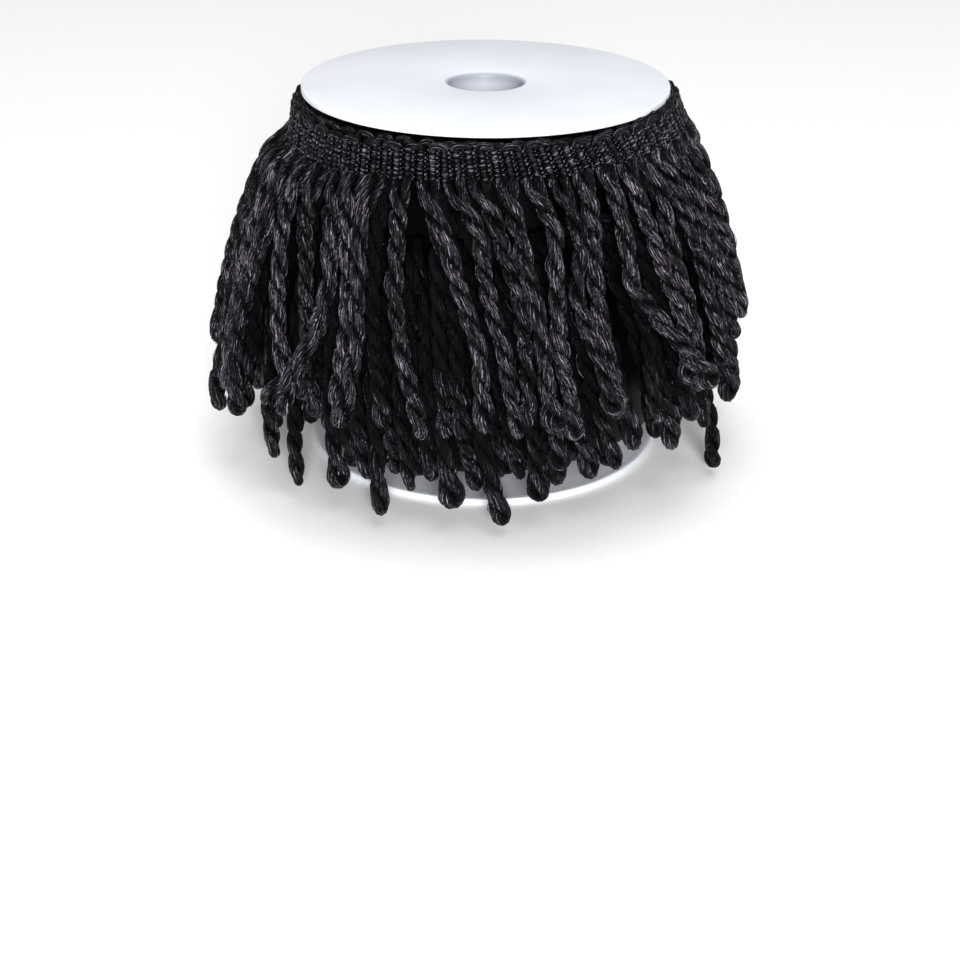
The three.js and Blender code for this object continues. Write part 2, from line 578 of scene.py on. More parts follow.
def add_noise(nodes, links, source, scale, detail, stretch=(1, 1, 1)):
    """Noise on a vector output, stretched by a mapping; returns its factor."""
    mapping = nodes.new("ShaderNodeMapping")
    mapping.inputs["Scale"].default_value = stretch
    links.new(source, mapping.inputs["Vector"])
    noise = nodes.new("ShaderNodeTexNoise")
    noise.inputs["Scale"].default_value = scale
    noise.inputs["Detail"].default_value = detail
    links.new(mapping.outputs["Vector"], noise.inputs["Vector"])
    return noise.outputs["Fac"]


def add_range(nodes, links, source, low, high, to_low, to_high):
    """A value moved from one range into another."""
    span = nodes.new("ShaderNodeMapRange")
    span.inputs["From Min"].default_value = low
    span.inputs["From Max"].default_value = high
    span.inputs["To Min"].default_value = to_low
    span.inputs["To Max"].default_value = to_high
    links.new(source, span.inputs["Value"])
    return span.outputs["Result"]


def feed(links, value, socket):
    """Links an output to a socket, or sets the socket to a plain value."""
    if isinstance(value, bpy.types.NodeSocket):
        links.new(value, socket)
    else:
        socket.default_value = value


def add_mix(nodes, links, share, first, second):
    """A colour between two colours, each an output or four plain values."""
    mix = nodes.new("ShaderNodeMix")
    mix.data_type = "RGBA"
    feed(links, first, mix.inputs["A"])
    feed(links, second, mix.inputs["B"])
    links.new(share, mix.inputs["Factor"])
    return mix.outputs["Result"]


def add_maths(nodes, links, operation, *values, kind="ShaderNodeMath"):
    """The outputs of a maths node that is fed with outputs and plain values."""
    maths = nodes.new(kind)
    maths.operation = operation
    for value, socket in zip(values, maths.inputs):
        feed(links, value, socket)
    return maths.outputs


def add_bump(nodes, links, shader, height, strength, depth):
    """Lets a height shade a surface as if it were raised."""
    bump = nodes.new("ShaderNodeBump")
    bump.inputs["Strength"].default_value = strength
    bump.inputs["Distance"].default_value = depth
    links.new(height, bump.inputs["Height"])
    links.new(bump.outputs["Normal"], shader.inputs["Normal"])


def bore_shade_share(nodes, links, place, hole):
    """Share of painted shade on the spindle hole's wall: one at its mouths, a tenth deeper in,
    nought elsewhere.
    """
    vector = "ShaderNodeVectorMath"
    level = add_maths(nodes, links, "MULTIPLY", place, (1, 1, 0), kind=vector)["Vector"]
    radius = add_maths(nodes, links, "LENGTH", level, kind=vector)["Value"]
    wall = add_range(nodes, links, radius, hole + 0.2 * MM, hole + MM, 1, 0)
    parts = nodes.new("ShaderNodeSeparateXYZ")
    links.new(place, parts.inputs["Vector"])
    height = parts.outputs["Z"]
    middle = FLANGE_HIGH.z / 2
    upper = add_range(nodes, links, height, 1.83 * middle, 1.98 * middle, 0.1, 1)
    lower = add_range(nodes, links, height, 0.02 * middle, 0.17 * middle, 1, 0.1)
    either = add_maths(nodes, links, "MAXIMUM", upper, lower)["Value"]
    return add_maths(nodes, links, "MULTIPLY", wall, either)["Value"]


def plastic_material(settings):
    """Moulded white plastic: a faint mottle and very fine scratches, and painted shade on the
    spindle hole's wall.
    """
    material, nodes, links, shader = new_material("moulded_plastic")
    place = nodes.new("ShaderNodeTexCoord").outputs["Object"]
    mottle = add_noise(nodes, links, place, 60, 3)
    grain = add_noise(nodes, links, place, 2600, 2)
    scuffs = add_noise(nodes, links, place, 300, 4, (1, 6, 1))
    clean = (*settings.colour, 1)
    dull = (*(0.94 * c for c in settings.colour), 1)
    shade = add_range(nodes, links, mottle, 0.35, 0.7, 0, 1)
    plain = add_mix(nodes, links, shade, clean, dull)
    # Painted shade: the spindle hole's wall near its mouths is coloured grey-blue, as the bore
    # lies in shade.
    bore = add_mix(nodes, links, shade, (0.30, 0.32, 0.37, 1), (0.27, 0.29, 0.34, 1))
    shaded_mouths = bore_shade_share(nodes, links, place, settings.hole)
    links.new(add_mix(nodes, links, shaded_mouths, plain, bore), shader.inputs["Base Color"])
    rough = add_range(nodes, links, scuffs, 0.3, 0.75, 0.38, 0.55)
    links.new(rough, shader.inputs["Roughness"])
    shader.inputs["IOR"].default_value = 1.49
    shader.inputs["Subsurface Weight"].default_value = 0.08
    shader.inputs["Subsurface Radius"].default_value = (0.004, 0.004, 0.005)
    add_bump(nodes, links, shader, grain, 0.12, 0.05 * MM)
    return material


def add_attribute(nodes, name, output):
    """A named attribute of the mesh."""
    attribute = nodes.new("ShaderNodeAttribute")
    attribute.attribute_name = name
    return attribute.outputs[output]


def add_sum(nodes, links, *parts):
    """A sum of outputs, each with its weight."""
    total = 0.0
    for source, weight in parts:
        total = add_maths(nodes, links, "MULTIPLY_ADD", source, weight, total)["Value"]
    return total


def yarn_material(name, colour, fibre, gloss=0.46):
    """Dyed yarn: wavy filaments that run along each ply, with painted highlights along them and
    painted shade between them.
    """
    material, nodes, links, shader = new_material(name)
    yarn = add_attribute(nodes, "yarn", "Vector")
    tone = add_attribute(nodes, "tone", "Fac")
    painted_shading = add_attribute(nodes, "painted_shading", "Fac")
    crimp = nodes.new("ShaderNodeTexNoise")
    crimp.inputs["Scale"].default_value = 0.8
    crimp.inputs["Detail"].default_value = 2
    links.new(yarn, crimp.inputs["Vector"])
    sway = (crimp.outputs["Color"], (0.7, 0.7, 0), yarn)
    wavy = add_maths(nodes, links, "MULTIPLY_ADD", *sway, kind="ShaderNodeVectorMath")
    path = wavy["Vector"]
    filament = add_noise(nodes, links, path, fibre, 1, (1, 1, 0.05))
    crossing = add_noise(nodes, links, path, 1.3 * fibre, 0, (1, 1, 0.14))
    patch = add_noise(nodes, links, yarn, 0.35, 2)
    threads = ((filament, 3.0), (crossing, 0.5))
    tone_and_painted_shading = ((painted_shading, 0.50), (tone, 0.12), (patch, 0.55))
    streak = add_sum(nodes, links, *threads, *tone_and_painted_shading)
    shade = add_range(nodes, links, streak, 1.82, 2.92, 0, 1)
    # The ramp paints light into the colour: a fraction of the yarn's colour as painted shade in
    # the gaps, up to many times it as painted highlights on the filaments.
    ramp = nodes.new("ShaderNodeValToRGB")
    stops = ramp.color_ramp.elements
    for position in (0.30, 0.55, 0.80):
        stops.new(position)
    for stop, strength in zip(stops, (0.25, 0.45, 1.5, 8.0, 32.0)):
        stop.color = (*(strength * c for c in colour), 1)
    links.new(shade, ramp.inputs["Fac"])
    links.new(ramp.outputs["Color"], shader.inputs["Base Color"])
    rough = add_range(nodes, links, patch, 0.35, 0.65, 0.36, 0.50)
    links.new(rough, shader.inputs["Roughness"])
    shine = add_range(nodes, links, shade, 0.25, 0.9, 0.05, gloss)
    links.new(shine, shader.inputs["Specular IOR Level"])
    height = add_sum(nodes, links, (filament, 1.0), (crossing, 0.4))
    add_bump(nodes, links, shader, height, 1.0, 0.6 * MM)
    return material


def finish_piece(piece, slot, *replaced):
    """Rides a finished piece on the part and hides the parts it replaces; the slot is not used.
    """
    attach(piece, "root")
    if replaced:
        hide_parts(*replaced)


def spun_piece(name, profile, round_over, material):
    """A turned piece: a closed profile of radius and height spun round the axis."""
    shape = bmesh.new()
    corners = [shape.verts.new((radius, 0, height)) for radius, height in profile]
    for first, second in zip(corners, corners[1:] + corners[:1]):
        shape.edges.new((first, second))
    bmesh.ops.spin(
        shape,
        geom=shape.verts[:] + shape.edges[:],
        axis=(0, 0, 1),
        cent=(0, 0, 0),
        angle=TURN,
        steps=160,
        use_merge=True,
    )
    bmesh.ops.recalc_face_normals(shape, faces=shape.faces[:])
    sharp = [
        edge
        for edge in shape.edges
        if edge.is_manifold and edge.calc_face_angle() > math.radians(25)
    ]
    bmesh.ops.bevel(
        shape,
        geom=sharp,
        offset=round_over,
        offset_type="OFFSET",
        affect="EDGES",
        segments=3,
        profile=0.5,
        material=-1,
    )
    for face in shape.faces:
        face.smooth = True
    mesh = bpy.data.meshes.new(name)
    shape.to_mesh(mesh)
    shape.free()
    mesh.materials.append(material)
    return new_object(name, mesh)


class FRINGE_OT_spool(bpy.types.Operator):
    """Build the two flanges and the hub of the spool"""

    bl_idname = "fringe.spool"
    bl_label = "Build Spool"

    def execute(self, context):
        settings = context.scene.fringe_spool
        material = plastic_material(settings)
        hole = settings.hole
        rim = settings.radius
        lip = 1.1 * MM
        step = 0.22 * MM
        mouth = 1.1 * MM
        reach = 7.0 * MM
        for name, node, face, sign in (
            ("spool_flange_upper", "spool_top_flange", FLANGE_HIGH.z, -1),
            ("spool_flange_lower", "spool_bottom_flange", 0.0, 1),
        ):
            inner = face + sign * settings.thickness
            bend = [
                (
                    hole + mouth * (1 - math.cos(math.radians(turn))),
                    face + sign * mouth * (1 - math.sin(math.radians(turn))),
                )
                for turn in range(0, 91, 15)
            ]
            profile = [
                *bend,
                (rim, face),
                (rim, inner + sign * step),
                (rim - lip, inner + sign * step),
                (rim - lip - step, inner),
                (hole + 1.0 * MM, inner),
                (hole + 0.4 * MM, inner + sign * reach),
                (hole, inner + sign * reach),
            ]
            piece = spun_piece(name, profile, 0.28 * MM, material)
            finish_piece(piece, "spool_plastic", node)
        wall = HUB_HIGH.x
        low = HUB_LOW.z + 0.25 * MM
        high = HUB_HIGH.z - 0.25 * MM
        bore = hole + 0.45 * MM
        profile = [
            (bore, low + reach),
            (hole + mouth, low),
            (wall, low),
            (wall, high),
            (hole + mouth, high),
            (bore, high - reach),
        ]
        piece = spun_piece("spool_hub_tube", profile, 0.15 * MM, material)
        finish_piece(piece, "spool_plastic", "spool_hub")
        return {"FINISHED"}


def turn_angle(share):
    """The angle round the spool at a share of the last turn, from its start."""
    return TRIM_END + TURN * share


def on_circle(radius, angle, height):
    """Points round the spool's axis."""
    return np.stack([radius * np.cos(angle), radius * np.sin(angle), height], axis=-1)


def heading_width(angle):
    """From the lower edge of the heading to the top of its scallops."""
    high = around(HEADING_EDGE, "top_height", angle)
    return high - around(HEADING_EDGE, "bottom_height", angle)


def on_heading(angle, height, out=0.0):
    """A point of the heading, by its height above the lower edge where it starts."""
    share = height / heading_width(angle)
    bottom = around(HEADING_EDGE, "bottom", angle)
    radius = bottom + (around(HEADING_EDGE, "top", angle) - bottom) * share + out
    low = around(HEADING_EDGE, "bottom_height", angle)
    aside = around(HEADING_EDGE, "lean", angle) * share / radius
    return on_circle(radius, angle - aside, low + height)


def oval(corners, half_depth, half_width):
    """Radius by corner of an oval whose first corner faces out."""
    angle = corner_angles(corners)
    return 1 / np.hypot(np.cos(angle) / half_depth, np.sin(angle) / half_width)


def heading_ribs(settings, ribs, random, strands):
    """The ribs: each is a stack of tight wraps, one for each binding row."""
    angle = turn_angle((np.arange(ribs) + 0.5) / ribs)
    top = heading_width(angle) - SCALLOP
    share = np.linspace(0, 1, 5 * settings.rows + 1)
    tucked = 0.25
    height = -tucked + (top[:, None] + tucked) * share
    out = 0.14 * random.uniform(-1, 1, ribs)[:, None]
    centres = on_heading(np.broadcast_to(angle[:, None], height.shape), height, out)
    normal, side = carried_frame(centres, outwards(centres[:, 0]))
    uneven = 0.13 * wander(random, ribs, len(share), 4)
    row = settings.rows * share + uneven + 0.16 * random.uniform(-1, 1, ribs)[:, None]
    groove = np.cos(math.pi * row) ** 2
    wave = 1 - 0.15 * groove + 0.06 * wander(random, ribs, len(share), 3)
    corners = 12
    section = oval(corners, settings.rib_depth / MM / 2, settings.rib_width / MM / 2)
    radius = section * wave[..., None]
    # Painted shade in the grooves between the wraps and on the ribs' sides, in the gaps between
    # ribs.
    edge = np.sin(corner_angles(corners)) ** 2
    painted_shading = 1 - 0.8 * groove[..., None] - 1.6 * edge
    tone = random.uniform(-1, 1, ribs)
    strands.add_tubes(centres, normal, side, radius, tone, painted_shading, across=True)


def heading_scallops(ribs, random, strands, raised=False, inward=0.0, shift=0.0):
    """The loops of yarn that join the ribs in pairs along the top edge."""
    half_depth, half_width = 0.78, 0.68
    highest = 76.2
    pairs = np.arange(ribs // 2 - 1)
    arc = np.linspace(-0.35, math.pi + 0.35, 15)
    pitch = TURN / ribs
    middle = turn_angle((2 * pairs + 2 + shift) / ribs)
    angle = middle[:, None] - 0.56 * pitch * np.cos(np.clip(arc, 0, math.pi))
    low = heading_width(angle) - SCALLOP - 0.1
    if raised:
        low = low + np.maximum(0.1, highest - around(HEADING_EDGE, "top_height", angle))
    rise = SCALLOP - half_depth + 0.25 * random.uniform(-1, 1, len(pairs))[:, None]
    height = low + rise * np.sin(arc)
    aside = angle + 0.007 * random.uniform(-1, 1, len(pairs))[:, None] * np.sin(arc)
    centres = on_heading(aside, height, 0.15 * np.sin(arc) - inward)
    normal, side = carried_frame(centres, outwards(centres[:, 0]))
    crest = crests(16)
    section = oval(len(crest), half_depth, half_width) * (0.90 + 0.15 * crest)
    swell = 1 + 0.10 * wander(random, len(pairs), len(arc), 5)
    radius = section * swell[..., None]
    # Painted light: a painted highlight on the raised corners, and a fixed painted shade on the
    # tone, as the scallops lie under the flange's rim.
    tone = random.uniform(-1, 1, len(pairs)) - 1.5
    strands.add_tubes(centres, normal, side, radius, tone, crest)


def heading_beads(settings, ribs, random, strands):
    """Tight stitches between the ribs, where the binding threads lock."""
    ball = bmesh.new()
    bmesh.ops.create_icosphere(ball, subdivisions=1, radius=1.0)
    points = np.array([vert.co[:] for vert in ball.verts])
    faces = [tuple(vert.index for vert in face.verts) for face in ball.faces]
    ball.free()
    column, row, leg = np.meshgrid(
        np.arange(ribs - 1), np.arange(settings.rows), (-1, 1), indexing="ij"
    )
    column, row, leg = column.ravel(), row.ravel(), leg.ravel()
    count = len(column)
    angle = turn_angle((column + 1) / ribs) + 0.0050 * leg
    angle = angle + 0.0015 * random.uniform(-1, 1, count)
    spacing = (heading_width(angle) - SCALLOP) / settings.rows
    height = spacing * (row + 0.5 + 0.22 * leg + 0.12 * random.uniform(-1, 1, count))
    centre = on_heading(angle, height, 0.46 + 0.16 * random.uniform(-1, 1, count))
    size = np.where(leg < 0, 0.19, 0.11) * (1 + 0.35 * random.uniform(-1, 1, count))
    outward = outwards(centre)
    beside = np.cross(UP, outward)
    tilt = 0.55 + 0.35 * random.uniform(-1, 1, count)[:, None]
    upright = UP * np.cos(tilt) - beside * np.sin(tilt)
    across = np.cross(upright, outward)
    size = size[:, None]
    places = np.stack([outward * size, across * size, upright * size * 1.25, centre], axis=-1)
    strands.add_copies((points, faces), places)


class FRINGE_OT_heading(bpy.types.Operator):
    """Build the ribbed heading of the last turn"""

    bl_idname = "fringe.heading"
    bl_label = "Build Heading"

    def execute(self, context):
        settings = context.scene.fringe_heading
        fringe = context.scene.fringe_cords
        ribs = 2 * fringe.cords
        random = np.random.default_rng(11)
        colour = tuple(fringe.colour)
        # The heading's yarn is the cords' yarn at 0.7 of its colour, a painted shade.
        yarn = yarn_material("heading_yarn", tuple(0.70 * c for c in colour), 5.0)
        woven = Strands()
        heading_ribs(settings, ribs, random, woven)
        heading_scallops(ribs, random, woven)
        heading_scallops(ribs, random, woven, raised=True, inward=1.1, shift=0.9)
        piece = woven.make("heading_ribs", yarn)
        finish_piece(piece, "heading_yarn", "trim_heading")
        binding = Strands()
        heading_beads(settings, ribs, random, binding)
        # Painted glints: the binding stitches take the yarn's colour at 2.6 times, with high
        # gloss.
        painted_glint_yarn = yarn_material("binding_thread_painted_glints", tuple(2.6 * c for c in colour), 7.0, 0.9)
        piece = binding.make("heading_binding", painted_glint_yarn)
        finish_piece(piece, "heading_yarn")
        return {"FINISHED"}


def bell_length(bell):
    """Length down a tier's side view at each of its rows."""
    return running(line_gaps(np.stack([column(bell, "radius"), column(bell, "height")], 1)))


def hang_line(bell, length, steps):
    """Radius and height at equal steps of a cord's length down a tier's side view."""
    along = bell_length(bell)
    wanted = np.linspace(0, 1, steps) * length[:, None]
    radius = np.interp(wanted, along, column(bell, "radius"))
    height = np.interp(wanted, along, column(bell, "height"))
    return radius, height


def last_turn_lines(fringe, steps, random):
    """Lines of the last turn's cords; those in front hang as they do in the photo."""
    count = fringe.cords
    angles = turn_angle((np.arange(count) + 0.5) / count)
    share = np.linspace(0, 1, steps)
    length = fringe.length / MM + 1.5 * random.uniform(-1, 1, count)
    length = length + 3.0 * np.cos(angles) ** 2
    out = np.where(random.uniform(size=count) < 0.3, -2.2, 0.3)
    lean = 10 + 3 * random.normal(size=count)
    heights = column(LAST_TURN_BELL, "height")[::-1]
    along = bell_length(LAST_TURN_BELL)[::-1]
    front = [row for row in FRONT_CORDS if row["cord"] < count]
    for row in front:
        length[row["cord"]] = np.interp(row["tip"], heights, along)
        out[row["cord"]] = row["out"]
    radius, height = hang_line(LAST_TURN_BELL, length, steps)
    bottom = around(HEADING_EDGE, "bottom", angles)
    low = around(HEADING_EDGE, "bottom_height", angles)
    start = np.exp(-6 * share)
    radius = radius + (bottom - LAST_TURN_BELL[0]["radius"])[:, None] * start
    radius = radius + out[:, None] * smooth(3.5 * share)
    radius = radius + 0.7 * wander(random, count, steps, 9) * smooth(3 * share)
    height = height + (low - LAST_TURN_BELL[0]["height"])[:, None] * start
    aside = lean[:, None] * share**1.2
    aside = aside + 0.8 * wander(random, count, steps, 9) * smooth(4 * share)
    for row in front:
        levels = np.array([SWING_START, *SWING_HEIGHTS, row["tip"]])
        cord = row["cord"]
        aside[cord] = np.interp(-height[cord], -levels, (0, *row["aside"]))
    aside = aside + 0.35 * wander(random, count, steps, 4) * smooth(4 * share)
    return on_circle(radius, angles[:, None] + aside / radius, height)


def lower_lines(fringe, bell, tips, steps, random):
    """Lines of the cords of a turn below, each led to its tip."""
    angles = np.radians(column(tips, "angle"))
    count = len(angles)
    share = np.linspace(0, 1, steps)
    length = fringe.length / MM + 2.0 * random.uniform(-1, 1, count)
    radius, height = hang_line(bell, length, steps)
    height = height + (column(tips, "tip") - height[:, -1])[:, None]
    radius = radius + 2.4 * np.cos(angles)[:, None] ** 2 * smooth((30 - height) / 14)
    radius = radius + column(tips, "out")[:, None] * smooth(3 * share)
    radius = radius + 0.7 * wander(random, count, steps, 8) * smooth(3 * share)
    lean = 8 + 2.5 * random.normal(size=count)
    aside = lean[:, None] * (share**1.2 - 1)
    aside = aside + 1.0 * wander(random, count, steps, 8) * smooth(2 - 2 * share)
    return on_circle(radius, angles[:, None] + aside / radius, height)


def random_tips(random, first, last, count, height):
    """Evenly spread tips from one angle to another, at heights about a mean."""
    step = (last - first) / count
    return [
        {
            "angle": first + step * (number + 0.5 + 0.3 * random.uniform(-1, 1)),
            "tip": height + random.uniform(-3, 3),
            "out": random.uniform(-1, 1),
            "fat": random.uniform() < 0.4,
        }
        for number in range(count)
    ]


def close_pairs(points, reach):
    """Pairs of nodes of different cords that are within reach of each other."""
    steps = points.shape[1]
    flat = points.reshape(-1, 3)
    tree = kdtree.KDTree(len(flat))
    for index, point in enumerate(flat.tolist()):
        tree.insert(point, index)
    tree.balance()
    pairs = [
        (index, other)
        for index, point in enumerate(flat.tolist())
        for _, other, _ in tree.find_range(point, reach)
        if other > index and other // steps != index // steps
    ]
    return np.array(pairs, dtype=int).reshape(-1, 2)


def settle(points, thickness, rounds):
    """Lets cords push each other apart while they keep their length and their bends."""
    held = 2
    stiffness = 0.35
    homing = 0.03
    firmness = 0.45
    # Millimetres: how high the middle lines stay over the table, how much higher over the
    # lower flange, and how far out from the axis that ends
    table_gap = 2.4
    flange_lift = 1.4
    flange_reach = 41.5
    shape = points.shape
    gap = np.linalg.norm(np.diff(points, axis=1), axis=2)
    bend = (points[:, :-2] + points[:, 2:]) / 2 - points[:, 1:-1]
    home = points.copy()
    for number in range(rounds):
        if number % 6 == 0:
            pairs = close_pairs(points, thickness * 1.35)
        middle = (points[:, :-2] + points[:, 2:]) / 2 - bend
        points[:, held:-1] += stiffness * (middle[:, held - 1 :] - points[:, held:-1])
        points[:, held:] += homing * (home[:, held:] - points[:, held:])
        flat = points.reshape(-1, 3)
        apart = flat[pairs[:, 0]] - flat[pairs[:, 1]]
        distance = np.linalg.norm(apart, axis=1, keepdims=True) + 1e-9
        push = firmness * np.maximum(0, thickness - distance) * apart / distance
        np.add.at(flat, pairs[:, 0], push)
        np.add.at(flat, pairs[:, 1], -push)
        points = flat.reshape(shape)
        points[:, :held] = home[:, :held]
        radius = np.linalg.norm(points[..., :2], axis=2)
        over_flange = np.clip((flange_reach - radius) / 2, 0, 1)
        floor = table_gap + flange_lift * over_flange
        points[..., 2] = np.maximum(points[..., 2], floor)
        for step in range(held, shape[1]):
            away = unit(points[:, step] - points[:, step - 1])
            points[:, step] = points[:, step - 1] + away * gap[:, step - 1, None]
    return points


def spread_points(line, wide, count):
    """A line spread along its length, closer together round its middle, the tip."""
    near_tip = 1.3
    steps = line_gaps(line)
    length = running(steps)
    from_tip = length - length[-1] / 2
    density = 1 + near_tip * np.exp(-((from_tip / 4.5) ** 2))
    weight = running(steps * (density[1:] + density[:-1]) / 2)
    wanted = np.interp(np.linspace(0, weight[-1], count), weight, length)
    points = read_line(wanted, length, line)
    faced = unit(read_line(wanted, length, wide))
    return points, faced, wanted, wanted - length[-1] / 2


def ply_line(axis, fringe, random, fat, loose):
    """The middle of the yarn of one cord: down one ply, round the tip and up the other.

    Also returns the direction in which the ply is flattened against its neighbour."""
    count = 72
    line = rounded_line(axis, count)
    step = np.linalg.norm(line[1] - line[0])
    length = step * (count - 1)
    round_spool = np.cross(UP, outwards(line[0]))
    normal, side = (part[0] for part in carried_frame(line[None], round_spool[None]))
    along = np.arange(count) * step
    loop_width = random.uniform(1.35, 1.7) if fat else random.uniform(0.95, 1.2)
    loop_length = random.uniform(3.8, 5.4) if fat else random.uniform(2.8, 4.2)
    lay = fringe.lay / MM * (1 + 0.14 * random.uniform(-1, 1)) * (1.2 if loose else 1)
    rate = TURN / lay * smooth((along + 0.6) / 7.0) * smooth((length - along) / loop_length)
    rate = rate * (1 + 0.30 * wander(random, 1, count, 9)[0]) * (0.92 + 0.2 * along / length)
    phase = running(rate[:-1] * step) + random.uniform(-0.35, 0.35)
    ply = fringe.ply_radius / MM
    spread = ply * 0.93 * (1 + 0.08 * wander(random, 1, count, 8)[0])
    spread = spread + 0.38 * np.exp(-along / 7.0)
    arc = np.linspace(0, math.pi, 33)
    end = np.argmax(along >= length - loop_length)
    depth = np.concatenate(
        [along[:end], length - loop_length + loop_length * np.sin(arc), along[:end][::-1]]
    )
    bow = (loop_width - spread[end]) * np.sin(2 * arc) ** 2 * np.sign(np.cos(arc))
    offset = np.concatenate(
        [spread[:end], spread[end] * np.cos(arc) + bow, -spread[:end][::-1]]
    )
    turn = -np.interp(depth, along, phase)
    place, out, beside = (read_line(depth, along, part) for part in (line, normal, side))
    cosine, sine = np.cos(turn)[:, None], np.sin(turn)[:, None]
    across = cosine * out + sine * beside
    wide = cosine * beside - sine * out
    return place + offset[:, None] * across, wide


def twisted_cords(axes, fringe, random, fat, rings, lobes, dull, strands):
    """Adds the twisted cords of one tier, and returns the middle lines of their yarn."""
    count = len(axes)
    loose = random.uniform(size=count) < 0.25
    yarns = [
        spread_points(*ply_line(axis, fringe, random, plump, slack), rings)
        for axis, plump, slack in zip(axes, fat, loose)
    ]
    centres, wide, along, from_tip = (np.stack(part) for part in zip(*yarns))
    normal, side = carried_frame(centres, outwards(centres[:, 0]))
    from_top = along[:, -1:] / 2 - np.abs(from_tip)
    thick = fringe.ply_radius / MM * (1 + 0.10 * random.uniform(-1, 1, (count, 1)))
    thick = thick * np.where(loose, 1.18, 1.0)[:, None]
    thick = thick * (1 + 0.08 * wander(random, count, rings, 9))
    thick = thick * (1 + np.where(fat, 0.46, 0.14)[:, None] * np.exp(-((from_tip / 5) ** 2)))
    thick = thick * (1 + 0.20 * np.exp(-from_top / 6))
    flat = 1 + 0.34 * smooth((from_top + 1) / 8) * smooth(np.abs(from_tip) / 6)
    turned = 0.30 * along
    angle = corner_angles(2 * lobes) + turned[..., None]
    facing = np.arctan2((wide * side).sum(-1), (wide * normal).sum(-1))[..., None]
    section = 1 / np.hypot(np.cos(angle - facing) / flat[..., None], np.sin(angle - facing))
    crest = crests(2 * lobes)
    uneven = wander(random, count * lobes, rings, 7).reshape(count, lobes, rings)
    uneven = np.repeat(uneven.transpose(0, 2, 1), 2, axis=2)
    radius = thick[..., None] * section * (0.91 + 0.12 * crest + uneven * (0.02 + 0.04 * crest))
    partner = centres[:, ::-1] - centres
    toward = np.arctan2((partner * side).sum(-1), (partner * normal).sum(-1))[..., None]
    # Painted light: a painted highlight on the lobes' crests, painted shade in the groove against
    # the partner ply, and on the turns below painted shade that grows above their tips.
    groove = smooth((np.cos(angle - toward) + 0.3) / 0.95)
    above = smooth((centres[..., 2] - centres[..., 2].min(1)[:, None] - 5) / 11)
    painted_shading = 0.2 + crest * (0.6 + 0.35 * uneven) - 1.15 * groove
    painted_shading = painted_shading - dull * (0.2 + 0.8 * above[..., None])
    tone = random.uniform(-1, 1, count)
    strands.add_tubes(centres, normal, side, radius, tone, painted_shading, turned)
    return centres, normal, side, thick


def loose_filaments(cords, each, random, strands):
    """Single filaments that have worked loose and wander over the plies."""
    centres, normal, side, thick = cords
    count, rings, _ = centres.shape
    steps = 16
    filament = 0.085
    lines = []
    for cord in np.repeat(np.arange(count), each):
        span = int(random.integers(9, 22))
        first = int(random.integers(2, rings - span - 2))
        at = np.arange(first, first + span)
        share = np.linspace(0, 1, span)
        drift = random.uniform(-1, 1) * 3.0
        angle = random.uniform(0, TURN) + drift * share + 0.25 * at
        lift = 1.03 + random.uniform(0.05, 0.40) * np.sin(math.pi * share) ** 2
        lift = lift * thick[cord, at]
        out = normal[cord, at] * np.cos(angle)[:, None]
        beside = side[cord, at] * np.sin(angle)[:, None]
        line = centres[cord, at] + (out + beside) * lift[:, None]
        lines.append(even_points(line, steps))
    paths = np.stack(lines)
    normals, sides = carried_frame(paths, outwards(paths[:, 0]))
    radius = np.full((len(lines), steps, 3), filament)
    strands.add_tubes(paths, normals, sides, radius, np.zeros(len(lines)), 1.0)


class FRINGE_OT_cords(bpy.types.Operator):
    """Settle the three tiers of cords and twist them"""

    bl_idname = "fringe.cords"
    bl_label = "Build Cords"

    def execute(self, context):
        fringe = context.scene.fringe_cords
        random = np.random.default_rng(4)
        steps = 25
        middle_tips = [*LOWER_TIPS]
        for stretch in MIDDLE_STRETCHES:
            middle_tips += random_tips(random, **stretch)
        inner_tips = []
        for stretch in INNER_STRETCHES:
            inner_tips += random_tips(random, **stretch)
        lines = [
            last_turn_lines(fringe, steps, random),
            lower_lines(fringe, MIDDLE_BELL, middle_tips, steps, random),
            lower_lines(fringe, INNER_BELL, inner_tips, steps, random),
        ]
        axes = settle(np.concatenate(lines), 3.2, 90)
        outer = fringe.cords
        fat = [random.uniform(size=outer) < 0.35, column(middle_tips, "fat")]
        fat = np.concatenate([*fat, column(inner_tips, "fat")])
        material = yarn_material("cord_yarn", tuple(fringe.colour), 5.4)
        half = outer // 2
        lower = outer + len(middle_tips)
        loose = Strands()
        # The turns below take painted shade on their yarn: the number after the lobes says how
        # much.
        for group in named_rows(
            "name first last rings lobes dull filaments replaced",
            ("cords_last_turn_a", 0, half, 126, 12, 0.0, 9, ("trim_fringe",)),
            ("cords_last_turn_b", half, outer, 126, 12, 0.0, 9, ()),
            ("cords_middle_turns", outer, lower, 104, 8, 1.5, 3, ()),
            ("cords_inner_turns", lower, len(axes), 92, 7, 1.8, 0, ()),
        ):
            strands = Strands()
            cords = slice(group["first"], group["last"])
            shape = (group["rings"], group["lobes"], group["dull"])
            made = twisted_cords(axes[cords], fringe, random, fat[cords], *shape, strands)
            piece = strands.make(group["name"], material)
            finish_piece(piece, "cord_yarn", *group["replaced"])
            if group["filaments"]:
                loose_filaments(made, group["filaments"], random, loose)
        piece = loose.make("loose_filaments", material)
        finish_piece(piece, "cord_yarn")
        return {"FINISHED"}


